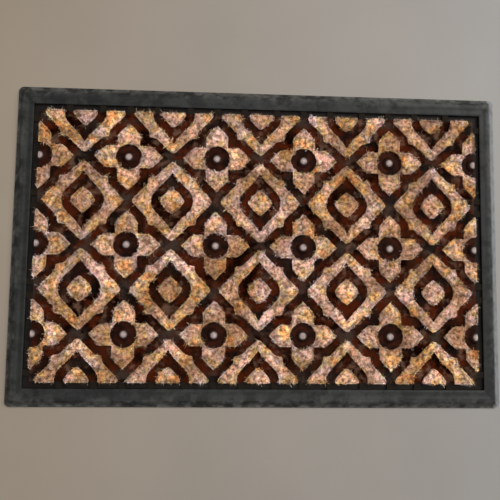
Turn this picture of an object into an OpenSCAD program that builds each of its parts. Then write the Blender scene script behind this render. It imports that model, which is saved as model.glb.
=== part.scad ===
// Moulded rubber door mat with a brush of coir let into it.
// A rubber sheet carries a raised border and a net of low channels. The coir stands in
// the openings of that net as diamond rings with a medallion inside them, and as
// four-petalled flowers round a rubber stud. The edge of the field cuts the outer row
// of each figure in half.
// Origin: middle of the underside. +X along the mat, +Y across it, +Z up. Millimetres.

/* [Layout] */
// Distance from one figure to the next like it, along the mat and across it
pitch = 125.6; // [122:0.2:132]
// Coir past the centres of the half flowers, at the two short ends
side_trim = 1.5; // [0.5:0.1:4]
// Coir past the centres of the half diamonds, along the two long sides
end_trim = 2.7; // [2:0.1:7]
// Width of the sunk groove between the coir field and the border
groove_w = 9.5; // [4:0.5:12]
// Width of the border at the two ends, from the outer edge to the groove
border_w = 25; // [18:0.5:28]
// How much wider the border is along the two long sides
side_band = 1.5; // [0:0.5:6]
// Radius of the mat's outer corners
corner_r = 7; // [2:0.5:12]

/* [Heights] */
// Thickness of the backing sheet
sheet_t = 4; // [3:0.1:5]
// Height of the rubber channels between the coir pads
channel_z = 7.5; // [6:0.1:8.5]
// Height of the coir brush
pile_z = 12.5; // [11:0.1:15]
// Height of the rubber studs
stud_z = 11.8; // [10.5:0.1:12.5]
// Thickness of the border's outer lip
lip_t = 2.4; // [1.5:0.1:3.5]
// Height of the border's crest
crest_z = 9.8; // [8.5:0.1:10.5]
// Height of the border's inner band, beside the groove
inner_band_z = 8.8; // [7.5:0.1:9.5]

/* [Figures, as parts of the pitch] */
// Reach of a diamond ring's four points
ring_point = 0.446; // [0.436:0.002:0.464]
// Reach of the square bump half way along each side of a diamond ring
ring_bump = 0.262; // [0.25:0.002:0.27]
// Half width of the space inside a diamond ring
well_half_w = 0.244; // [0.22:0.001:0.255]
// Half length of the space inside a diamond ring, to its two points
well_half_l = 0.349; // [0.31:0.001:0.355]
// Half width of a medallion
medallion_half_w = 0.130; // [0.12:0.001:0.15]
// Half length of a medallion
medallion_half_l = 0.139; // [0.13:0.001:0.16]
// Reach of a flower's petals
petal_tip = 0.379; // [0.37:0.001:0.4]
// Half width of a petal
petal_half_w = 0.118; // [0.115:0.001:0.14]
// Radius of the rubber seat in the middle of a flower
seat_r = 0.153; // [0.12:0.001:0.155]
// Radius of the rubber stud on that seat
stud_r = 0.078; // [0.06:0.001:0.09]

/* [Underside] */
// Distance between the grip grooves
grip_pitch = 25; // [20:1:40]
// Width of a grip groove
grip_w = 4; // [2:0.5:6]
// Depth of a grip groove
grip_d = 1; // [0.5:0.1:1.5]

/* [Hidden] */
$fn = 64;
diamond_columns = 5;
diamond_rows = 2;
flower_columns = diamond_columns - 1;
flower_rows = diamond_rows + 1;
row_letters = ["a", "b", "c"];
ends = ["left", "right"];
sides = ["front", "back"];

// The coir field, the space inside the border and the whole mat
field_l = diamond_columns * pitch + 2 * side_trim;
field_w = (diamond_rows + 1) * pitch + 2 * end_trim;
well_l = field_l + 2 * groove_w;
well_w = field_w + 2 * groove_w;
mat_l = well_l + 2 * border_w;
mat_w = well_w + 2 * (border_w + side_band);

// The outer strip of the border that stands on the floor, beside the backing sheet
flange = 6;
// A tie is the short rib that carries a channel across the groove
tie_w = 0.07 * pitch;
tie_z = channel_z - 0.4;

rubber = [0.19, 0.21, 0.21];
rubber_in_channels = [0.15, 0.10, 0.09];
coir = [0.75, 0.59, 0.46];
coir_deep = [0.70, 0.52, 0.38];

function grid_names(stem, columns, rows) =
    [for (r = [0 : rows - 1], c = [1 : columns]) str(stem, "_", row_letters[r], c)];
function edge_names(stem, edges, count) =
    [for (e = edges, i = [1 : count]) str(stem, "_", e, "_", i)];

RINGS = grid_names("diamond_ring", diamond_columns, diamond_rows);
MEDALLIONS = grid_names("medallion", diamond_columns, diamond_rows);
FLOWERS = grid_names("flower", flower_columns, flower_rows);
HALF_FLOWERS = edge_names("half_flower", ends, flower_rows);
HALF_RINGS = edge_names("half_ring", sides, diamond_columns);

// ---- where the figures stand ----

// Places of n figures a pitch apart, centred on 0
function places(n) = [for (i = [0 : n - 1]) (i - (n - 1) / 2) * pitch];
function grid(columns, rows) =
    [for (y = places(rows), x = places(columns)) [x, y]];
diamond_grid = grid(diamond_columns, diamond_rows);
flower_grid = grid(flower_columns, flower_rows);
side_y = (diamond_rows + 1) / 2 * pitch;
end_x = diamond_columns / 2 * pitch;
half_ring_grid = [for (s = [-1, 1], x = places(diamond_columns)) [x, s * side_y]];
half_flower_grid = [for (s = [-1, 1], y = places(flower_rows)) [s * end_x, y]];

// ---- outlines ----

// A closed outline from one quarter of it, which runs from the Y axis to the X axis
function four_fold(q) = let (n = len(q)) concat(
    q,
    [for (i = [n - 2 : -1 : 0]) [q[i][0], -q[i][1]]],
    [for (i = [1 : n - 1]) [-q[i][0], -q[i][1]]],
    [for (i = [n - 2 : -1 : 1]) [-q[i][0], q[i][1]]]
);
function bezier(a, b, c, d, t) =
    pow(1 - t, 3) * a + 3 * t * pow(1 - t, 2) * b + 3 * t * t * (1 - t) * c + pow(t, 3) * d;

// A diamond with a square bump standing out of the middle of each side
module ring_outline() {
    p = ring_point;
    b = ring_bump;
    shoulder = [[0.03, p - 0.018], [0.19, 0.274]];
    mirrored = [[0.274, 0.19], [p - 0.018, 0.03]];
    polygon(pitch * four_fold(concat([[0, p]], shoulder, [[b, b]], mirrored, [[p, 0]])));
}

// The ogee space in a ring: pointed along Y and round along X
module well_outline() {
    w = well_half_w;
    l = well_half_l;
    polygon(pitch * four_fold([for (i = [0 : 10])
        bezier([0, l], [0.46 * w, 0.46 * l], [0.98 * w, 0.41 * l], [w, 0], i / 10)]));
}

// A diamond with bulging sides
module medallion_outline() {
    bulge = 1.6;
    polygon(pitch * four_fold([for (a = [90 : -11.25 : 0])
        [medallion_half_w * pow(cos(a), bulge), medallion_half_l * pow(sin(a), bulge)]]));
}

// Four petals with straight sides and pointed ends
module flower_outline() {
    p = petal_tip;
    w = petal_half_w;
    half_petal = [[0.25, w], [0.30, 0.67 * w], [0.35, 0.22 * w], [p, 0]];
    upright = [for (i = [3 : -1 : 0]) [half_petal[i][1], half_petal[i][0]]];
    polygon(pitch * four_fold(concat(upright, [[w, w]], half_petal)));
}

module field() {
    square([field_l, field_w], center = true);
}

module seat_outline() {
    circle(r = seat_r * pitch);
}

module rounded_rectangle(l, w, r) {
    square([l - 2 * r, w], center = true);
    square([l, w - 2 * r], center = true);
    for (x = [-1, 1], y = [-1, 1])
        translate([x * (l / 2 - r), y * (w / 2 - r)])
            circle(r);
}

// ---- rubber ----

module backing_sheet() {
    l = mat_l - 2 * flange;
    w = mat_w - 2 * flange;
    grooves = floor((l / 2 - grip_pitch) / grip_pitch);
    color(rubber)
    difference() {
        translate([-l / 2, -w / 2, 0])
            cube([l, w, sheet_t]);
        for (i = [-grooves : grooves - 1])
            translate([(i + 0.5) * grip_pitch - grip_w / 2, grip_pitch - w / 2, -1])
                cube([grip_w, w - 2 * grip_pitch, 1 + grip_d]);
    }
}

// Section of the border: distance in from the outer edge, and height
function border_section(width) = [
    [0, 0], [0, lip_t - 0.8], [0.8, lip_t], [1.8, lip_t],
    [8.6, crest_z - 0.7], [10.2, crest_z], [15.6, crest_z], [17, inner_band_z],
    [width - 0.8, inner_band_z], [width, inner_band_z - 0.8],
    [width, sheet_t], [flange, sheet_t], [flange, 0]
];

// One side of the border, along Y at +X. Its ends are cut to a mitre as deep as the
// narrower sides are wide.
module border_side(length, half_span, width) {
    outer = length / 2;
    inner = outer - border_w;
    intersection() {
        translate([half_span, outer, 0])
            rotate([90, 0, 0])
                linear_extrude(length)
                    polygon([for (p = border_section(width)) [-p[0], p[1]]]);
        linear_extrude(2 * crest_z)
            polygon([
                [half_span, outer], [half_span - border_w, inner],
                [half_span - 2 * border_w, inner], [half_span - 2 * border_w, -inner],
                [half_span - border_w, -inner], [half_span, -outer]
            ]);
    }
}

module border_frame() {
    color(rubber)
    intersection() {
        union() {
            for (turn = [0, 180])
                rotate(turn)
                    border_side(mat_w, mat_l / 2, border_w);
            for (turn = [90, 270])
                rotate(turn)
                    border_side(mat_l, mat_w / 2, border_w + side_band);
        }
        linear_extrude(2 * crest_z)
            rounded_rectangle(mat_l, mat_w, corner_r);
    }
}

// Ribs that carry a channel over the groove along the two long sides, at these places
module side_ties(xs) {
    for (x = xs, s = [-1, 1])
        translate([x - tie_w / 2, s * (field_w + groove_w) / 2 - groove_w / 2])
            square([tie_w, groove_w]);
}

// Ribs over the groove at the two ends, either side of each half flower's petals
module end_ties() {
    gap = 0.425 * pitch;
    for (y = places(flower_rows), dy = [-gap, gap], s = [-1, 1])
        translate([s * (field_l + groove_w) / 2 - groove_w / 2, y + dy - tie_w / 2])
            square([groove_w, tie_w]);
}

// The rubber between the rings and the flowers
module channel_net() {
    color(rubber_in_channels) {
        translate([0, 0, sheet_t])
            linear_extrude(channel_z - sheet_t)
                difference() {
                    field();
                    for (at = concat(diamond_grid, half_ring_grid))
                        translate(at) ring_outline();
                    for (at = concat(flower_grid, half_flower_grid))
                        translate(at) flower_outline();
                }
        translate([0, 0, sheet_t])
            linear_extrude(tie_z - sheet_t) {
                side_ties(places(flower_columns));
                end_ties();
            }
    }
}

module well_rubber() {
    difference() {
        well_outline();
        medallion_outline();
    }
}

module ring_wells() {
    color(rubber_in_channels)
    translate([0, 0, sheet_t])
        linear_extrude(channel_z - sheet_t)
            for (at = diamond_grid)
                translate(at) well_rubber();
}

module half_ring_wells() {
    tie_gap = (well_half_w + medallion_half_w) / 2 * pitch;
    color(rubber_in_channels) {
        translate([0, 0, sheet_t])
            linear_extrude(channel_z - sheet_t)
                intersection() {
                    field();
                    for (at = half_ring_grid)
                        translate(at) well_rubber();
                }
        translate([0, 0, sheet_t])
            linear_extrude(tie_z - sheet_t)
                side_ties([for (x = places(diamond_columns), dx = [-tie_gap, tie_gap]) x + dx]);
    }
}

// A round seat with a domed stud on it
module stud() {
    r = stud_r * pitch;
    rise = stud_z - channel_z;
    dome_r = (r * r + rise * rise) / (2 * rise);
    translate([0, 0, sheet_t])
        cylinder(r = seat_r * pitch, h = channel_z - sheet_t);
    intersection() {
        translate([0, 0, stud_z - dome_r])
            sphere(dome_r);
        translate([0, 0, channel_z - 1])
            cylinder(r = 2 * r, h = pile_z);
    }
}

module centre_studs() {
    color(rubber)
    for (at = flower_grid)
        translate(at) stud();
}

module edge_studs() {
    color(rubber)
    intersection() {
        linear_extrude(2 * pile_z)
            field();
        for (at = half_flower_grid)
            translate(at) stud();
    }
}

// ---- coir ----

// A figure of coir bonded to the sheet, cut off where the field ends
module coir_pad(at, shade) {
    color(shade)
    translate([0, 0, sheet_t])
        linear_extrude(pile_z - sheet_t)
            intersection() {
                field();
                translate(at) children();
            }
}

module ring_pad(at) {
    coir_pad(at, coir)
        difference() {
            ring_outline();
            well_outline();
        }
}

module flower_pad(at) {
    coir_pad(at, coir)
        difference() {
            flower_outline();
            seat_outline();
        }
}

module medallion_pad(at) {
    coir_pad(at, coir_deep)
        medallion_outline();
}

module half_medallions(side) {
    for (x = places(diamond_columns))
        medallion_pad([x, side * side_y]);
}

module half_medallions_front() {
    half_medallions(-1);
}

module half_medallions_back() {
    half_medallions(1);
}

backing_sheet();
border_frame();
channel_net();
ring_wells();
half_ring_wells();
centre_studs();
edge_studs();
half_medallions_front();
half_medallions_back();
for (i = [0 : len(RINGS) - 1])
    ring_pad(diamond_grid[i]);
for (i = [0 : len(MEDALLIONS) - 1])
    medallion_pad(diamond_grid[i]);
for (i = [0 : len(FLOWERS) - 1])
    flower_pad(flower_grid[i]);
for (i = [0 : len(HALF_FLOWERS) - 1])
    flower_pad(half_flower_grid[i]);
for (i = [0 : len(HALF_RINGS) - 1])
    ring_pad(half_ring_grid[i]);
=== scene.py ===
"""A moulded rubber door mat with a brush of coir let into it, lying on a plain floor.

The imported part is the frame. Each coir pad is rebuilt in its own CAD solid's outline as a
lumpy matted brush with loose cut fibres, and the rubber border as a lofted moulding.
Lengths are metres.
"""

import math

import bpy
import numpy as np
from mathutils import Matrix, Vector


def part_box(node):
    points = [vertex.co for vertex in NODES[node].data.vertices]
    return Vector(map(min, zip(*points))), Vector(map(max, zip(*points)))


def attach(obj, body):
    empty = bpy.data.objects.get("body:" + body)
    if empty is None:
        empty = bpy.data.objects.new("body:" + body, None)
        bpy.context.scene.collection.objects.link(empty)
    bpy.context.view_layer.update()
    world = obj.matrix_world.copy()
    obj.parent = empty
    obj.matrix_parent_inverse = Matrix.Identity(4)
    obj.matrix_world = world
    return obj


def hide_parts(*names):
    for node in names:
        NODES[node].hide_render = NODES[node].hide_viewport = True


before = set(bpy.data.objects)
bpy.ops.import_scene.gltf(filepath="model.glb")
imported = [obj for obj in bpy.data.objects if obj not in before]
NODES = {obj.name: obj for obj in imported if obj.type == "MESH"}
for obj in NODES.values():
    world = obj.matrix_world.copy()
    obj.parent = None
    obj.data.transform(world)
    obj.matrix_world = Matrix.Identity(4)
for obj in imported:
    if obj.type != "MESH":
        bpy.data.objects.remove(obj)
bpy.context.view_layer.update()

MM = 0.001

# ---- heights and sizes read from the frame ----

PILE_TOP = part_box("flower_a1")[1].z
CHANNEL_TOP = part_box("ring_wells")[1].z
SHEET_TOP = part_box("backing_sheet")[1].z
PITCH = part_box("medallion_a2")[0].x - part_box("medallion_a1")[0].x
COIR_KINDS = (
    "diamond_ring", "medallion", "flower", "half_flower", "half_ring_front", "half_ring_back",
    "half_medallions",
)
COIR_NODES = sorted(n for n in NODES if n.startswith(COIR_KINDS))


# ---- meshes ----


def new_mesh(name, verts, faces, smooth=True):
    """A mesh object from arrays. faces is a list of index arrays, each of one width."""
    mesh = bpy.data.meshes.new(name)
    mesh.vertices.add(len(verts))
    mesh.vertices.foreach_set("co", np.asarray(verts, np.float32).ravel())
    counts = np.concatenate([np.full(len(f), f.shape[1]) for f in faces])
    loops = np.concatenate([f.ravel() for f in faces])
    mesh.loops.add(len(loops))
    mesh.loops.foreach_set("vertex_index", loops.astype(np.int32))
    mesh.polygons.add(len(counts))
    starts = np.concatenate([[0], np.cumsum(counts)[:-1]])
    mesh.polygons.foreach_set("loop_start", starts.astype(np.int32))
    mesh.polygons.foreach_set("use_smooth", np.full(len(counts), smooth))
    mesh.update(calc_edges=True)
    mesh.validate()
    obj = bpy.data.objects.new(name, mesh)
    bpy.context.scene.collection.objects.link(obj)
    return obj


def mesh_arrays(obj):
    """An object's own points and triangles."""
    mesh = obj.data
    mesh.calc_loop_triangles()
    points = np.zeros(len(mesh.vertices) * 3)
    mesh.vertices.foreach_get("co", points)
    triangles = np.zeros(len(mesh.loop_triangles) * 3, np.int32)
    mesh.loop_triangles.foreach_get("vertices", triangles)
    return points.reshape(-1, 3), triangles.reshape(-1, 3)


def smooth_noise(x, y, size, seed):
    """Value noise from -1 to 1 at points, with lumps about `size` across."""
    rng = np.random.default_rng(seed)
    table = rng.uniform(-1, 1, (256, 256))
    u, v = x / size + 128.5, y / size + 128.5
    i, j = np.floor(u).astype(int), np.floor(v).astype(int)
    fu, fv = u - i, v - j
    fu, fv = fu * fu * (3 - 2 * fu), fv * fv * (3 - 2 * fv)
    a, b = table[i % 256, j % 256], table[(i + 1) % 256, j % 256]
    c, d = table[i % 256, (j + 1) % 256], table[(i + 1) % 256, (j + 1) % 256]
    return (a * (1 - fu) + b * fu) * (1 - fv) + (c * (1 - fu) + d * fu) * fv


# ---- coir ----

TUFT = 7.0 * MM  # width of a tuft of bristles
CRUMB = 2.4 * MM  # width of the finest lumps
MAT_DEPTH = 2.3 * MM  # how far the matted mass lies under the top of the brush
FLARE = 0.38 * MM  # how far the brush spreads past its opening
RIM_SLOPE = 2.4 * MM  # width of the rounded rim
PALE_RIM = 3.0 * MM  # width of the band of dry, paler fibre ends along the rim
BRISTLES_PER_M2 = 8.0e5
LOOSE_PER_M2 = 2.6e5
RIM_BRISTLES_PER_M = 3800
FIBRE_R = 0.185 * MM
VOXEL = 1.9 * MM


def pile_relief(x, y):
    """Height of the matted brush above its mean, the same field over the whole mat."""
    tufts = smooth_noise(x, y, TUFT, 11)
    crumbs = smooth_noise(x, y, CRUMB, 12)
    swell = smooth_noise(x, y, 31 * MM, 13)
    return (0.75 * tufts + 0.4 * crumbs + 0.3 * swell) * MM


class Outline:
    """The top face of a CAD pad: its triangles, and the edges round it."""

    def __init__(self, obj):
        points, triangles = mesh_arrays(obj)
        top = np.all(points[triangles][:, :, 2] > PILE_TOP - 1e-6, axis=1)
        flat, index = np.unique(np.round(points[:, :2], 7), axis=0, return_inverse=True)
        corners = index.reshape(-1)[triangles[top]]
        self.triangles = flat[corners]
        edges = np.concatenate([corners[:, [0, 1]], corners[:, [1, 2]], corners[:, [2, 0]]])
        _, first, uses = np.unique(
            np.sort(edges, axis=1), axis=0, return_index=True, return_counts=True
        )
        rim = edges[first[uses == 1]]
        self.a, self.b = flat[rim[:, 0]], flat[rim[:, 1]]
        along = self.b - self.a
        self.lengths = np.hypot(along[:, 0], along[:, 1])
        self.outward = np.stack([along[:, 1], -along[:, 0]], 1) / self.lengths[:, None]
        one = self.triangles[:, 1] - self.triangles[:, 0]
        two = self.triangles[:, 2] - self.triangles[:, 0]
        self.areas = np.abs(one[:, 0] * two[:, 1] - one[:, 1] * two[:, 0]) / 2

    def scatter(self, rng, per_m2):
        """Random points spread evenly over the face."""
        count = int(self.areas.sum() * per_m2)
        pick = rng.choice(len(self.areas), count, p=self.areas / self.areas.sum())
        u, v = rng.random(count), rng.random(count)
        over = u + v > 1
        u[over], v[over] = 1 - u[over], 1 - v[over]
        t = self.triangles[pick]
        return t[:, 0] + u[:, None] * (t[:, 1] - t[:, 0]) + v[:, None] * (t[:, 2] - t[:, 0])

    def scatter_rim(self, rng, per_m):
        """Random points along the rim, with the outward direction at each."""
        count = int(self.lengths.sum() * per_m)
        pick = rng.choice(len(self.lengths), count, p=self.lengths / self.lengths.sum())
        share = rng.random(count)[:, None]
        return self.a[pick] + share * (self.b[pick] - self.a[pick]), self.outward[pick]

    def from_rim(self, p):
        """How far inside the rim each point is, less than 0 outside, and the way out."""
        best = np.full(len(p), 1e9)
        nearest = np.zeros(len(p), int)
        for index, (a, b) in enumerate(zip(self.a, self.b)):
            d = b - a
            t = np.clip(((p - a) @ d) / (d @ d), 0, 1)
            gap = p - a - t[:, None] * d
            dist = np.hypot(gap[:, 0], gap[:, 1])
            near = dist < best
            best[near], nearest[near] = dist[near], index
        crossed = np.zeros(len(p), bool)
        for a, b in zip(self.a, self.b):
            if a[1] == b[1]:
                continue
            spans = (a[1] > p[:, 1]) != (b[1] > p[:, 1])
            at = a[0] + (p[:, 1] - a[1]) / (b[1] - a[1]) * (b[0] - a[0])
            crossed ^= spans & (p[:, 0] < at)
        return np.where(crossed, best, -best), self.outward[nearest]


def mat_height(x, y, depth):
    """Height of the matted mass under the bristles, lower towards the rim."""
    rim = np.exp(-((np.maximum(depth, 0) / RIM_SLOPE) ** 2))
    return PILE_TOP - MAT_DEPTH + pile_relief(x, y) - 1.1 * MM * rim


def matted_base(node, outline):
    """Points and triangles of the pad's solid mass, rounded at the rim and lumpy on top."""
    copy = bpy.data.objects.new("base", NODES[node].data.copy())
    bpy.context.scene.collection.objects.link(copy)
    remesh = copy.modifiers.new("remesh", "REMESH")
    remesh.mode = "VOXEL"
    remesh.voxel_size = VOXEL
    graph = bpy.context.evaluated_depsgraph_get()
    copy.data = bpy.data.meshes.new_from_object(copy.evaluated_get(graph))
    copy.modifiers.clear()
    points, triangles = mesh_arrays(copy)
    bpy.data.objects.remove(copy)
    depth, out = outline.from_rim(points[:, :2])
    lift = np.clip((points[:, 2] - CHANNEL_TOP) / (PILE_TOP - CHANNEL_TOP), 0, 1)
    ripple = smooth_noise(points[:, 0], points[:, 1], 4.0 * MM, 21)
    spread = np.sqrt(lift) * np.exp(-((depth / RIM_SLOPE) ** 2)) * FLARE * (0.6 + 0.7 * ripple)
    points[:, :2] += out * spread[:, None]
    top = mat_height(points[:, 0], points[:, 1], depth)
    points[:, 2] += lift * (top - PILE_TOP)
    return points, triangles


def rows(root, low, middle, mid_z, tip, high):
    """The root, middle and tip centres of a lot of fibres, as three arrays of x, y, z."""
    return [np.column_stack(each) for each in ((root, low), (middle, mid_z), (tip, high))]


def standing_bristles(outline, rng):
    """Cut bristles standing out of the matted mass, in tufts that lean together."""
    root = outline.scatter(rng, BRISTLES_PER_M2)
    count = len(root)
    depth, out = outline.from_rim(root)
    x, y = root.T
    rise = MAT_DEPTH + rng.normal(-0.35, 0.5, count) * MM + 0.35 * pile_relief(x, y)
    low = mat_height(x, y, depth) - 0.5 * MM
    high = np.clip(PILE_TOP - MAT_DEPTH + rise, low + 0.8 * MM, PILE_TOP + 0.8 * MM)
    lean = np.stack([smooth_noise(x, y, TUFT, 32), smooth_noise(x, y, TUFT, 33)], 1) * 0.75
    lean += rng.normal(0, 0.42, (count, 2))
    lean += out * (0.25 * np.exp(-((depth / RIM_SLOPE) ** 2)))[:, None]
    tip = root + lean * (high - low)[:, None]
    middle = root + lean * (high - low)[:, None] * 0.4
    mid_z = low + 0.5 * (high - low)
    thick = FIBRE_R * rng.uniform(0.6, 1.2, count)
    pale = rng.random(count) < 0.8 * np.exp(-((depth / PALE_RIM) ** 2))
    return rows(root, low, middle, mid_z, tip, high), thick, pale


def rim_bristles(outline, rng):
    """Bristles up the sides of the pad, which hide the opening's edge."""
    edge, out = outline.scatter_rim(rng, RIM_BRISTLES_PER_M)
    count = len(edge)
    root = edge - out * rng.uniform(0.1, 1.2, (count, 1)) * MM
    low = CHANNEL_TOP + rng.uniform(-0.2, 1.6, count) * MM
    high = PILE_TOP + rng.normal(-0.9, 0.6, count) * MM
    high = np.clip(high, low + 1.5 * MM, PILE_TOP + 0.5 * MM)
    splay = FLARE * rng.gamma(2.0, 0.6, (count, 1))
    drift = rng.normal(0, 0.7, (count, 1)) * MM
    across = np.stack([-out[:, 1], out[:, 0]], 1)
    tip = edge + out * np.minimum(splay, 1.7 * MM) + across * drift
    middle = 0.55 * root + 0.45 * tip - out * 0.15 * MM
    mid_z = 0.45 * low + 0.55 * high
    thick = FIBRE_R * rng.uniform(0.7, 1.2, count)
    return rows(root, low, middle, mid_z, tip, high), thick, rng.random(count) < 0.7


def loose_fibres(outline, rng):
    """Longer fibres that lie matted over the top. A few stray over the channels."""
    root = outline.scatter(rng, LOOSE_PER_M2)
    count = len(root)
    x, y = root.T
    heading = smooth_noise(x, y, 13 * MM, 31) * 4.4 + rng.normal(0, 0.9, count)
    length = rng.gamma(6.0, 0.95, count) * MM
    turn = rng.normal(0, 0.5, count)
    reach = np.full(count, 1.0)
    allowed = np.where(rng.random(count) < 0.02, 4.0, rng.uniform(0.0, 0.8, count)) * MM

    def ends():
        first, last = heading - turn, heading + turn
        middle = root + (0.5 * length * reach)[:, None] * np.stack([np.cos(first), np.sin(first)], 1)
        tip = middle + (0.5 * length * reach)[:, None] * np.stack([np.cos(last), np.sin(last)], 1)
        return middle, tip

    for step in (math.pi, 0.0, 0.0):
        outside = -outline.from_rim(ends()[1])[0] > allowed
        heading[outside] += step
        reach[outside] *= 1.0 if step else 0.45
    middle, tip = ends()
    over = np.maximum(-outline.from_rim(tip)[0], 0)
    depth = outline.from_rim(root)[0]
    low = mat_height(x, y, depth) + rng.uniform(0.1, 1.5, count) * MM
    mid_z = low + rng.uniform(0.3, 1.1, count) * MM
    high = mid_z + rng.normal(0.1, 0.45, count) * MM - 0.7 * over
    ceiling = PILE_TOP + rng.uniform(-0.3, 0.9, count) * MM
    mid_z, high = np.minimum(mid_z, ceiling), np.minimum(high, ceiling)
    thick = FIBRE_R * rng.uniform(0.5, 1.05, count)
    pale = rng.random(count) < 0.6 * np.exp(-((depth / PALE_RIM) ** 2))
    return rows(root, low, middle, mid_z, tip, high), thick, pale


def fibre_mesh(centres, thick, rng):
    """Three-sided fibres through rows of centres, closed at both ends."""
    count, rings = len(thick), len(centres)
    along = centres[-1] - centres[0]
    side = np.cross(along, rng.normal(0, 1, (count, 3)))
    side /= np.linalg.norm(side, axis=1)[:, None]
    other = np.cross(along, side)
    other /= np.linalg.norm(other, axis=1)[:, None]
    taper = np.linspace(1.0, 0.62, rings)
    points = []
    for centre, scale in zip(centres, taper):
        for angle in (0, 2 * math.pi / 3, 4 * math.pi / 3):
            spoke = math.cos(angle) * side + math.sin(angle) * other
            points.append(centre + spoke * (thick * scale)[:, None])
    quads = [
        [3 * r + k, 3 * r + (k + 1) % 3, 3 * r + 3 + (k + 1) % 3, 3 * r + 3 + k]
        for r in range(rings - 1) for k in range(3)
    ]
    last = 3 * rings - 3
    ends = [[2, 1, 0], [last, last + 1, last + 2]]
    start = (np.arange(count) * 3 * rings)[:, None, None]
    return (
        np.stack(points, 1).reshape(-1, 3),
        (np.array(quads)[None] + start).reshape(-1, 4),
        (np.array(ends)[None] + start).reshape(-1, 3),
    )


BAKE_MAP = "OFBake"  # the name of the UV map to bake into


def map_from_above(pad):
    """A UV map of the pad seen from above, so that each baked fibre keeps its own colour."""
    mesh = pad.data
    corners = np.zeros(len(mesh.loops), np.int32)
    mesh.loops.foreach_get("vertex_index", corners)
    plan = mesh_arrays(pad)[0][:, :2]
    plan = 0.01 + 0.98 * (plan - plan.min(0)) / np.ptp(plan, axis=0).max()
    layer = mesh.uv_layers.new(name=BAKE_MAP)
    layer.data.foreach_set("uv", plan[corners].astype(np.float32).ravel())


def coir_pad(node, seed, materials):
    """One pad of coir, as one piece: its matted mass, its bristles and its loose fibres."""
    outline = Outline(NODES[node])
    rng = np.random.default_rng(seed)
    points, triangles = matted_base(node, outline)
    verts, faces, slots = [points], [triangles], [np.zeros(len(triangles))]
    shift = len(points)
    for kind in (standing_bristles, rim_bristles, loose_fibres):
        centres, thick, pale = kind(outline, rng)
        more, quads, ends = fibre_mesh(centres, thick, rng)
        verts.append(more)
        faces += [quads + shift, ends + shift]
        slots += [np.repeat(1 + pale, len(quads) // len(pale)), np.repeat(1 + pale, 2)]
        shift += len(more)
    pad = new_mesh("coir_" + node, np.concatenate(verts), faces)
    for each in materials:
        pad.data.materials.append(each)
    pad.data.polygons.foreach_set("material_index", np.concatenate(slots).astype(np.int32))
    map_from_above(pad)
    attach(pad, "root")
    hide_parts(node)


# ---- materials ----


class Nodes:
    """A short way to write a material's node tree."""

    def __init__(self, name):
        self.material = bpy.data.materials.new(name)
        self.material.use_nodes = True
        self.tree = self.material.node_tree
        self.shader = self.tree.nodes["Principled BSDF"]
        self.point = self.add("ShaderNodeTexCoord").outputs["Object"]

    def add(self, kind, **settings):
        node = self.tree.nodes.new(kind)
        for key, value in settings.items():
            setattr(node, key, value)
        return node

    def link(self, a, b):
        self.tree.links.new(a, b)

    def noise(self, scale, detail=3.0, roughness=0.55):
        """A noise factor whose lumps are about 1 / scale metres across."""
        node = self.add("ShaderNodeTexNoise")
        node.inputs["Scale"].default_value = scale
        node.inputs["Detail"].default_value = detail
        node.inputs["Roughness"].default_value = roughness
        self.link(self.point, node.inputs["Vector"])
        return node.outputs["Fac"]

    def ramp(self, factor, stops):
        """A colour for each factor, from stops of (factor, colour)."""
        node = self.add("ShaderNodeValToRGB")
        elements = node.color_ramp.elements
        while len(elements) < len(stops):
            elements.new(0.5)
        for element, (place, colour) in zip(elements, stops):
            element.position = place
            element.color = (*colour, 1)
        self.link(factor, node.inputs["Fac"])
        return node.outputs["Color"]

    def grey(self, factor, low, high, a, b):
        """Maps factor from low..high to a..b."""
        node = self.add("ShaderNodeMapRange")
        for key, value in (("From Min", low), ("From Max", high), ("To Min", a), ("To Max", b)):
            node.inputs[key].default_value = value
        self.link(factor, node.inputs["Value"])
        return node.outputs["Result"]

    def mix(self, factor, a, b, blend="MIX"):
        node = self.add("ShaderNodeMix", data_type="RGBA", blend_type=blend)
        for key, value in (("Factor", factor), ("A", a), ("B", b)):
            index = {"Factor": 0, "A": 6, "B": 7}[key]
            if isinstance(value, bpy.types.NodeSocket):
                self.link(value, node.inputs[index])
            elif index:
                node.inputs[index].default_value = (*value, 1)
            else:
                node.inputs[index].default_value = value
        return node.outputs[2]

    def maths(self, operation, a, b=0.0):
        node = self.add("ShaderNodeMath", operation=operation)
        for index, value in enumerate((a, b)):
            if isinstance(value, bpy.types.NodeSocket):
                self.link(value, node.inputs[index])
            else:
                node.inputs[index].default_value = value
        return node.outputs[0]

    def axes(self):
        """The point's X, Y and Z, in metres."""
        split = self.add("ShaderNodeSeparateXYZ")
        self.link(self.point, split.inputs[0])
        return split.outputs

    def height(self):
        return self.axes()["Z"]

    def bump(self, factor, distance, strength=1.0, under=None):
        node = self.add("ShaderNodeBump")
        node.inputs["Distance"].default_value = distance
        node.inputs["Strength"].default_value = strength
        self.link(factor, node.inputs["Height"])
        if under:
            self.link(under, node.inputs["Normal"])
        return node.outputs["Normal"]

    def finish(self, colour, roughness, normal=None, **sockets):
        for key, value in (("Base Color", colour), ("Roughness", roughness), ("Normal", normal)):
            if isinstance(value, bpy.types.NodeSocket):
                self.link(value, self.shader.inputs[key])
            elif value is not None:
                self.shader.inputs[key].default_value = value
        for key, value in sockets.items():
            self.shader.inputs[key.replace("_", " ")].default_value = value
        return self.material


# Colours of single coir fibres, and of the shaded depth of the brush
STRAW = (0.95, 0.76, 0.55)
PALE = (0.96, 0.86, 0.74)
GOLD = (0.91, 0.66, 0.39)
RUST = (0.62, 0.35, 0.20)
PINK = (0.95, 0.72, 0.60)
ASH = (0.84, 0.75, 0.64)
BARK = (0.32, 0.17, 0.095)
DEEP = (0.095, 0.036, 0.014)


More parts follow.
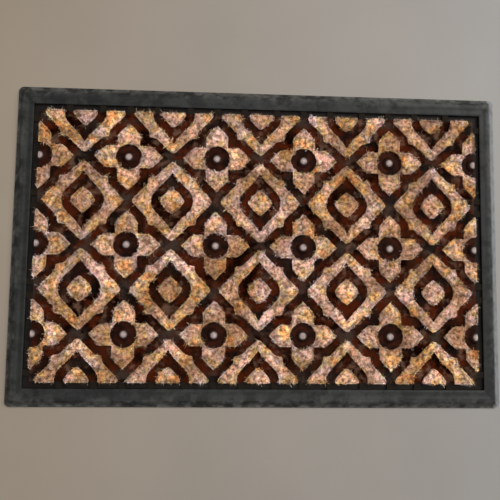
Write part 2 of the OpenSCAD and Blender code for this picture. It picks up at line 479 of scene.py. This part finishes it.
def near_crossings(n, low, high):
    """1 where four channels meet, where the channels open widest, and 0 elsewhere."""
    x, y, _ = n.axes()
    waves = [n.maths("COSINE", n.maths("MULTIPLY", axis, 2 * math.pi / PITCH)) for axis in (x, y)]
    both = n.maths("ABSOLUTE", n.maths("ADD", *waves))
    return n.grey(both, low, high, 0.0, 1.0)


def clump_tint(n):
    """Drifts of colour over the brush: golden, orange, pinkish and greyish patches."""
    wide = n.ramp(
        n.noise(21, 1.0),
        [(0.34, (0.66, 0.57, 0.45)), (0.46, (0.88, 0.83, 0.74)), (0.55, (0.98, 0.98, 0.98)),
         (0.66, (1.22, 1.23, 1.21))],
    )
    patches = n.ramp(
        n.noise(58, 1.6),
        [(0.34, (1.16, 0.86, 0.50)), (0.42, (1.02, 1.05, 0.66)), (0.48, (0.94, 1.00, 1.00)),
         (0.54, (1.12, 0.93, 0.94)), (0.60, (0.96, 1.05, 1.02)), (0.67, (1.06, 0.91, 0.98))],
    )
    tufts = n.ramp(
        n.noise(220, 1.5),
        [(0.34, (0.30, 0.24, 0.19)), (0.44, (0.78, 0.73, 0.68)), (0.54, (1.10, 1.10, 1.10)),
         (0.66, (1.56, 1.62, 1.66))],
    )
    warmth = n.ramp(n.noise(37, 1.0), [(0.38, (1.04, 0.99, 0.84)), (0.62, (0.96, 1.00, 1.10))])
    drift = n.mix(1.0, wide, warmth, "MULTIPLY")
    return n.mix(1.0, n.mix(1.0, drift, patches, "MULTIPLY"), tufts, "MULTIPLY")


def coir_fibre_material(name, tone):
    n = Nodes(name)
    island = n.add("ShaderNodeNewGeometry").outputs["Random Per Island"]
    strand = n.ramp(
        island,
        [(0.0, BARK), (0.03, RUST), (0.14, GOLD), (0.36, STRAW), (0.55, PINK), (0.70, PALE),
         (0.84, ASH), (1.0, STRAW)],
    )
    streak = n.grey(n.noise(900, 3.0), 0.3, 0.7, 0.84, 1.12)
    strand = n.mix(1.0, strand, tone, "MULTIPLY")
    dry = n.mix(near_crossings(n, 1.30, 1.80), (0.97, 0.96, 0.97), (1.08, 1.16, 1.24))
    tinted = n.mix(1.0, n.mix(1.0, strand, dry, "MULTIPLY"), clump_tint(n), "MULTIPLY")
    streaked = n.mix(1.0, tinted, streak, "MULTIPLY")
    # Painted shade: the fibres darken low in the brush, where the bristles shade one another.
    rise = n.grey(n.height(), PILE_TOP - 4.5 * MM, PILE_TOP - 1.2 * MM, 0.0, 1.0)
    colour = n.mix(rise, n.mix(1.0, streaked, (0.34, 0.20, 0.13), "MULTIPLY"), streaked)
    return n.finish(
        colour,
        n.grey(n.noise(400), 0.3, 0.7, 0.62, 0.85),
        n.bump(n.noise(1500, 2.0), 0.12 * MM, 0.6),
        Specular_IOR_Level=0.3,
        Sheen_Weight=0.12,
        Sheen_Roughness=0.5,
    )


def coir_base_material():
    n = Nodes("coir_mat")
    strands = n.noise(620, 4.0, 0.7)
    colour = n.ramp(strands, [(0.28, DEEP), (0.39, BARK), (0.50, RUST), (0.64, GOLD)])
    tinted = n.mix(1.0, colour, clump_tint(n), "MULTIPLY")
    rise = n.grey(n.height(), CHANNEL_TOP, PILE_TOP - 1.8 * MM, 0.0, 1.0)
    shaded = n.mix(rise, DEEP, tinted)
    return n.finish(
        shaded,
        n.grey(strands, 0.3, 0.7, 0.95, 0.75),
        n.bump(strands, 1.1 * MM, 0.9),
        Specular_IOR_Level=0.2,
    )


def worn_rubber(n, dark, light, dust, wear):
    """Colour and skin of dull moulded rubber: cloudy, scuffed and dusty where worn."""
    cloud = n.noise(26, 4.0, 0.6)
    body = n.ramp(cloud, [(0.34, dark), (0.66, light)])
    scuffs = n.grey(n.noise(95, 5.0, 0.72), 0.46, 0.72, 0.0, 0.9)
    colour = n.mix(n.maths("MULTIPLY", wear, scuffs), body, dust)
    specks = n.grey(n.noise(520, 2.0, 0.5), 0.66, 0.74, 0.0, 0.3)
    colour = n.mix(specks, colour, dust)
    skin = n.bump(n.noise(1400, 2.0), 0.10 * MM, 0.5)
    skin = n.bump(n.noise(160, 3.0), 0.35 * MM, 0.5, skin)
    return colour, n.grey(cloud, 0.3, 0.7, 0.50, 0.74), skin


# Each kind of rubber as (dark cloud, light cloud, dust)
GREY_RUBBER = ((0.010, 0.011, 0.0105), (0.034, 0.034, 0.031), (0.125, 0.120, 0.108))
# The groove rubber is the same rubber painted near black: painted shade in the deep groove beside the
# coir.
SHADED_GROOVE_RUBBER = ((0.004, 0.0032, 0.0028), (0.011, 0.0085, 0.0070), (0.034, 0.024, 0.017))

RIGHT_RAMP_LIGHT = (0.160, 0.165, 0.172)  # painted light on the right-hand ramp, which faces the low light from the right
DARK_PATCH = (0.0045, 0.0050, 0.0048)
INNER_BAND_SHADE = (0.0030, 0.0028, 0.0026)  # painted shade on the band beside the groove, where the coir shades it


def border_material():
    """Grey rubber, lighter on its outer ramp, with painted light along the right-hand end and painted
    shade on the band beside the groove.
    """
    n = Nodes("border_rubber")
    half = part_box("border_frame")[1]
    x, y, _ = n.axes()
    from_end = n.maths("SUBTRACT", half.x, n.maths("ABSOLUTE", x))
    from_side = n.maths("SUBTRACT", half.y, n.maths("ABSOLUTE", y))
    inward = n.maths("MINIMUM", from_end, from_side)
    ramp = n.grey(inward, 4 * MM, 13 * MM, 1.0, 0.0)
    right = n.grey(n.maths("SUBTRACT", half.x, x), 7.5 * MM, 11 * MM, 1.0, 0.0)
    wear = n.maths("ADD", n.maths("MULTIPLY", ramp, 0.75), 0.10)
    colour, roughness, normal = worn_rubber(n, *GREY_RUBBER, wear)
    colour = n.mix(n.maths("MULTIPLY", ramp, 0.20), colour, GREY_RUBBER[2])
    shade = n.grey(n.noise(66, 4.0, 0.62), 0.44, 0.60, 0.0, 0.85)
    colour = n.mix(shade, colour, DARK_PATCH)
    # Painted shade along the inner band beside the groove, deeper at the two ends than along the
    # sides.
    at_end = n.maths("LESS_THAN", from_end, from_side)
    depth = n.maths("ADD", n.maths("MULTIPLY", at_end, 0.30), 0.35)
    inner_shade = n.maths("MULTIPLY", depth, n.grey(inward, 12 * MM, 19 * MM, 0.0, 1.0))
    colour = n.mix(inner_shade, colour, INNER_BAND_SHADE)
    # Painted light along the right-hand ramp.
    right_ramp_light = n.maths("MULTIPLY", right, n.grey(n.noise(90, 4.0, 0.6), 0.34, 0.62, 0.55, 0.95))
    colour = n.mix(right_ramp_light, colour, RIGHT_RAMP_LIGHT)
    return n.finish(colour, roughness, normal, Specular_IOR_Level=0.22)


def sheet_material():
    n = Nodes("sheet_rubber")
    wear = n.grey(n.noise(60, 3.0), 0.4, 0.7, 0.0, 0.35)
    # Near-black rubber: painted shade for the sheet seen down in the groove.
    return n.finish(*worn_rubber(n, *SHADED_GROOVE_RUBBER, wear), Specular_IOR_Level=0.08)


def outside_field(n):
    """1 beyond the outer edge of the coir, where the ties cross the groove."""
    x, y, _ = n.axes()
    past_end = n.maths("GREATER_THAN", n.maths("ABSOLUTE", x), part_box("edge_studs")[1].x)
    past_side = n.maths("GREATER_THAN", n.maths("ABSOLUTE", y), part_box("half_ring_back_1")[1].y)
    return n.maths("MAXIMUM", past_end, past_side)


MAROON_PATCH = (0.047, 0.0084, 0.0028)
BLOTCH = (0.090, 0.048, 0.031)
# Painted light where the channels cross.
CROSSING_LIGHT = (0.033, 0.023, 0.0175)
NEAR_BLACK = (0.0040, 0.0036, 0.0034)
GRIT = (0.090, 0.045, 0.023)
TIE = (0.014, 0.0105, 0.0080)  # the ties over the edge groove


def channel_material():
    """Rubber between the pads, maroon-brown in patches, with painted light in grey where the channels
    cross.
    """
    n = Nodes("channel_rubber")
    cloud = n.noise(38, 4.0, 0.6)
    body = n.ramp(cloud, [(0.40, (0.0040, 0.0010, 0.0005)), (0.60, (0.0230, 0.0076, 0.0036))])
    # Maroon-brown patches over the dark rubber.
    maroon_patch = n.grey(n.noise(46, 3.0, 0.6), 0.43, 0.58, 0.0, 0.9)
    colour = n.mix(maroon_patch, body, MAROON_PATCH)
    blotch = n.grey(n.noise(66, 4.0, 0.6), 0.53, 0.66, 0.0, 0.9)
    colour = n.mix(blotch, colour, BLOTCH)
    # Painted light: lighter grey where the channels open wide at the crossings.
    crossing = near_crossings(n, 1.55, 1.95)
    crossing_light = n.maths("MULTIPLY", crossing, n.grey(n.noise(75, 4.0), 0.40, 0.58, 0.0, 0.9))
    colour = n.mix(crossing_light, colour, CROSSING_LIGHT)
    # Near-black patches at random.
    near_black = n.grey(n.noise(34, 4.0), 0.53, 0.61, 0.0, 0.8)
    colour = n.mix(near_black, colour, NEAR_BLACK)
    grit = n.grey(n.noise(700, 2.0), 0.64, 0.74, 0.0, 0.45)
    colour = n.mix(grit, colour, GRIT)
    colour = n.mix(outside_field(n), colour, TIE)
    normal = n.bump(n.noise(900, 3.0), 0.2 * MM, 0.6)
    normal = n.bump(n.noise(120, 3.0), 0.5 * MM, 0.5, normal)
    return n.finish(
        colour, n.grey(cloud, 0.3, 0.7, 0.6, 0.85), normal, Specular_IOR_Level=0.0
    )


STUD_SIDE = (0.016, 0.0075, 0.0060)
# Pale stud top: partly wear and partly a painted highlight.
STUD_TOP_AND_HIGHLIGHT = (0.40, 0.315, 0.295)


def stud_material():
    """Rubber studs on dark seats, polished on top, with a pale worn cap that also carries a painted
    highlight.
    """
    n = Nodes("stud_rubber")
    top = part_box("centre_studs")[1].z
    body = n.ramp(
        n.noise(90, 4.0), [(0.36, (0.0060, 0.0020, 0.0010)), (0.64, (0.0280, 0.0064, 0.0024))]
    )
    side = n.grey(n.height(), CHANNEL_TOP + 1.0 * MM, top - 1.2 * MM, 0.0, 1.0)
    colour = n.mix(side, body, STUD_SIDE)
    # Pale top: wear and a painted highlight, in place of a glossy specular highlight.
    rise = n.grey(n.height(), top - 1.2 * MM, top - 0.1 * MM, 0.0, 1.0)
    worn_top_and_highlight = n.maths("MULTIPLY", rise, n.grey(n.noise(330, 4.0, 0.7), 0.3, 0.6, 0.45, 1.0))
    colour = n.mix(worn_top_and_highlight, colour, STUD_TOP_AND_HIGHLIGHT)
    return n.finish(
        colour,
        n.grey(rise, 0.0, 1.0, 0.6, 0.42),
        n.bump(n.noise(1100, 3.0), 0.12 * MM, 0.5),
        Specular_IOR_Level=0.03,
    )


def floor_material():
    """A plain pale floor, a little warmer to the left of the mat than to the right."""
    n = Nodes("plain_floor")
    across = n.grey(n.axes()["X"], -0.45, 0.45, 0.0, 1.0)
    colour = n.mix(across, (0.232, 0.186, 0.137), (0.196, 0.190, 0.181))
    cloud = n.grey(n.noise(3.5, 3.0), 0.3, 0.7, 0.94, 1.06)
    return n.finish(
        n.mix(1.0, colour, cloud, "MULTIPLY"), 0.7, n.bump(n.noise(240, 3.0), 0.1 * MM, 0.3)
    )


# ---- rubber ----


def rounded_ring(half_l, half_w, radius, per_long, per_short, per_corner):
    """Points round a rectangle with round corners, in order, as an array of x, y."""
    radius = max(radius, 0.05 * MM)
    points = []
    corners = ((1, -1, -90), (1, 1, 0), (-1, 1, 90), (-1, -1, 180))
    straight = (per_short, per_long, per_short, per_long)
    centres = [
        (sx * (half_l - radius), sy * (half_w - radius), start) for sx, sy, start in corners
    ]
    for index, (cx, cy, start) in enumerate(centres):
        for k in range(per_corner):
            angle = math.radians(start + 90 * k / (per_corner - 1))
            points.append((cx + radius * math.cos(angle), cy + radius * math.sin(angle)))
        last = points[-1]
        nx, ny, nstart = centres[(index + 1) % 4]
        angle = math.radians(nstart)
        after = (nx + radius * math.cos(angle), ny + radius * math.sin(angle))
        count = straight[index]
        for k in range(1, count):
            t = k / count
            points.append((last[0] + t * (after[0] - last[0]), last[1] + t * (after[1] - last[1])))
    return np.array(points)


PER_LONG, PER_SHORT, PER_CORNER = 150, 100, 9  # points along each part of a border ring


def border_ring(half_l, half_w, radius):
    return rounded_ring(half_l, half_w, radius, PER_LONG, PER_SHORT, PER_CORNER)


def border_section(crest):
    """The border's section in millimetres as (distance in, height): foot, lip, ramp and band."""
    lip = 2.4
    ramp_in, ramp_out = 2.2, 9.6
    section = [(0.3, 0.0), (0.05, 0.25), (0.0, 0.8), (0.0, 1.5), (0.25, 2.05), (0.8, 2.4)]
    section += [(1.5, lip), (ramp_in, lip + 0.25)]
    for k in range(1, 9):
        t = k / 9
        ease = t * t * (3 - 2 * t) * 0.35 + t * 0.65
        section.append((ramp_in + t * (ramp_out - ramp_in), lip + 0.25 + ease * (crest - lip - 0.55)))
    section += [(d, crest + drop) for d, drop in (
        (10.4, -0.08), (11.4, 0.0), (13.0, 0.0), (14.4, -0.03), (15.4, -0.17), (16.4, -0.42),
        (17.4, -0.68), (18.4, -0.87), (19.4, -0.97), (20.9, -1.0), (22.9, -1.03),
    )]
    return section


def border_rings(high):
    """The border as closed rings of points, each with its height, from foot to flange."""
    half_l, half_w = high.x, high.y
    crest = high.z / MM
    corner = 7
    rings = []
    for distance, z in border_section(crest):
        rings.append((
            border_ring(half_l - distance * MM, half_w - distance * MM, (corner - distance) * MM),
            z * MM,
        ))
    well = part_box("channel_net")[1]
    band = crest - 1.0
    for back, z in ((0.35, band - 0.12), (0.08, band - 0.4), (0.0, band - 0.9), (0.0, band - 2.4)):
        rings.append((border_ring(well.x + back * MM, well.y + back * MM, 0), z * MM))
    rings.append((border_ring(well.x, well.y, 0), SHEET_TOP))
    flange = half_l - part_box("backing_sheet")[1].x
    for z in (SHEET_TOP, 0.0):
        rings.append((border_ring(half_l - flange, half_w - flange, 0), z))
    return rings


def border():
    """The raised rubber border, lofted round the mat and slightly uneven."""
    rings = border_rings(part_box("border_frame")[1])
    count = len(rings[0][0])
    verts = np.concatenate([np.column_stack([r, np.full(count, z)]) for r, z in rings])
    x, y, z = verts.T
    free = np.clip((z - 0.5 * MM) / (4 * MM), 0, 1) * (z > 0.8 * MM)
    wave = 0.14 * smooth_noise(x, y, 38 * MM, 41) + 0.05 * smooth_noise(x, y, 6 * MM, 42)
    verts[:, 2] += free * (wave - 0.12) * MM
    steps = np.arange(count)
    after = (steps + 1) % count
    quads = []
    for r in range(len(rings)):
        a, b = r * count, ((r + 1) % len(rings)) * count
        quads.append(np.column_stack([a + steps, a + after, b + after, b + steps]))
    piece = new_mesh("rubber_border", verts, [np.concatenate(quads)])
    piece.data.materials.append(border_material())
    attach(piece, "root")
    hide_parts("border_frame")


def soften(node, width):
    """Rounds a CAD node's sharp edges with a bevel, and leaves its mesh as it is."""
    bevel = NODES[node].modifiers.new("round_edges", "BEVEL")
    bevel.width = width
    bevel.segments = 2
    bevel.limit_method = "ANGLE"
    bevel.angle_limit = math.radians(40)


def finish_cad_node(node, material):
    """Gives a carried-over CAD node its material."""
    mesh = NODES[node].data
    mesh.materials.clear()
    mesh.materials.append(material)


def rubber_parts():
    border()
    channel = channel_material()
    stud = stud_material()
    finish_cad_node("backing_sheet", sheet_material())
    for node in ("channel_net", "ring_wells", "half_ring_wells"):
        finish_cad_node(node, channel)
    for node in ("centre_studs", "edge_studs"):
        finish_cad_node(node, stud)
    for node in ("channel_net", "half_ring_wells", "centre_studs", "edge_studs"):
        soften(node, 0.5 * MM)


def coir_parts():
    """Every pad, of one matted mass, its fibres, and the paler fibres along its rim."""
    materials = (
        coir_base_material(),
        coir_fibre_material("coir_fibre", (0.92, 0.88, 1.03)),
        coir_fibre_material("coir_fibre_ends", (0.95, 0.92, 1.02)),
    )
    for index, node in enumerate(COIR_NODES):
        coir_pad(node, 100 + index, materials)


# ---- the set ----

CAMERA_AT = (-0.0463, -0.0569, 0.7203)
CAMERA_TURN = (4.151, -2.699, 0.767)


def camera():
    data = bpy.data.cameras.new("camera")
    data.sensor_width = 36
    data.lens = 36
    obj = bpy.data.objects.new("camera", data)
    obj.location = CAMERA_AT
    obj.rotation_euler = [math.radians(a) for a in CAMERA_TURN]
    bpy.context.scene.collection.objects.link(obj)
    bpy.context.scene.camera = obj


def soft_light(name, place, size, power, colour):
    data = bpy.data.lights.new(name, "AREA")
    data.shape = "DISK"
    data.size = size
    data.energy = power
    data.color = colour
    obj = bpy.data.objects.new(name, data)
    obj.location = place
    direction = -np.array(place)
    obj.rotation_euler = (
        math.atan2(math.hypot(direction[0], direction[1]), -direction[2]),
        0,
        math.atan2(direction[1], direction[0]) - math.pi / 2 if any(place[:2]) else 0,
    )
    bpy.context.scene.collection.objects.link(obj)


def studio():
    reach = 6.0
    floor = new_mesh(
        "floor",
        [(-reach, -reach, 0), (reach, -reach, 0), (reach, reach, 0), (-reach, reach, 0)],
        [np.array([[0, 1, 2, 3]])],
    )
    floor.data.materials.append(floor_material())
    soft_light("window", (2.2, 1.4, 2.05), 1.6, 104, (1.0, 0.985, 0.96))
    soft_light("overhead", (0.2, -0.1, 2.4), 1.6, 35, (1.0, 0.985, 0.97))
    world = bpy.data.worlds.new("studio")
    world.use_nodes = True
    world.node_tree.nodes["Background"].inputs["Color"].default_value = (0.95, 0.97, 1.0, 1)
    world.node_tree.nodes["Background"].inputs["Strength"].default_value = 0.33
    bpy.context.scene.world = world
    bpy.context.scene.view_settings.view_transform = "Standard"


camera()
studio()
rubber_parts()
coir_parts()
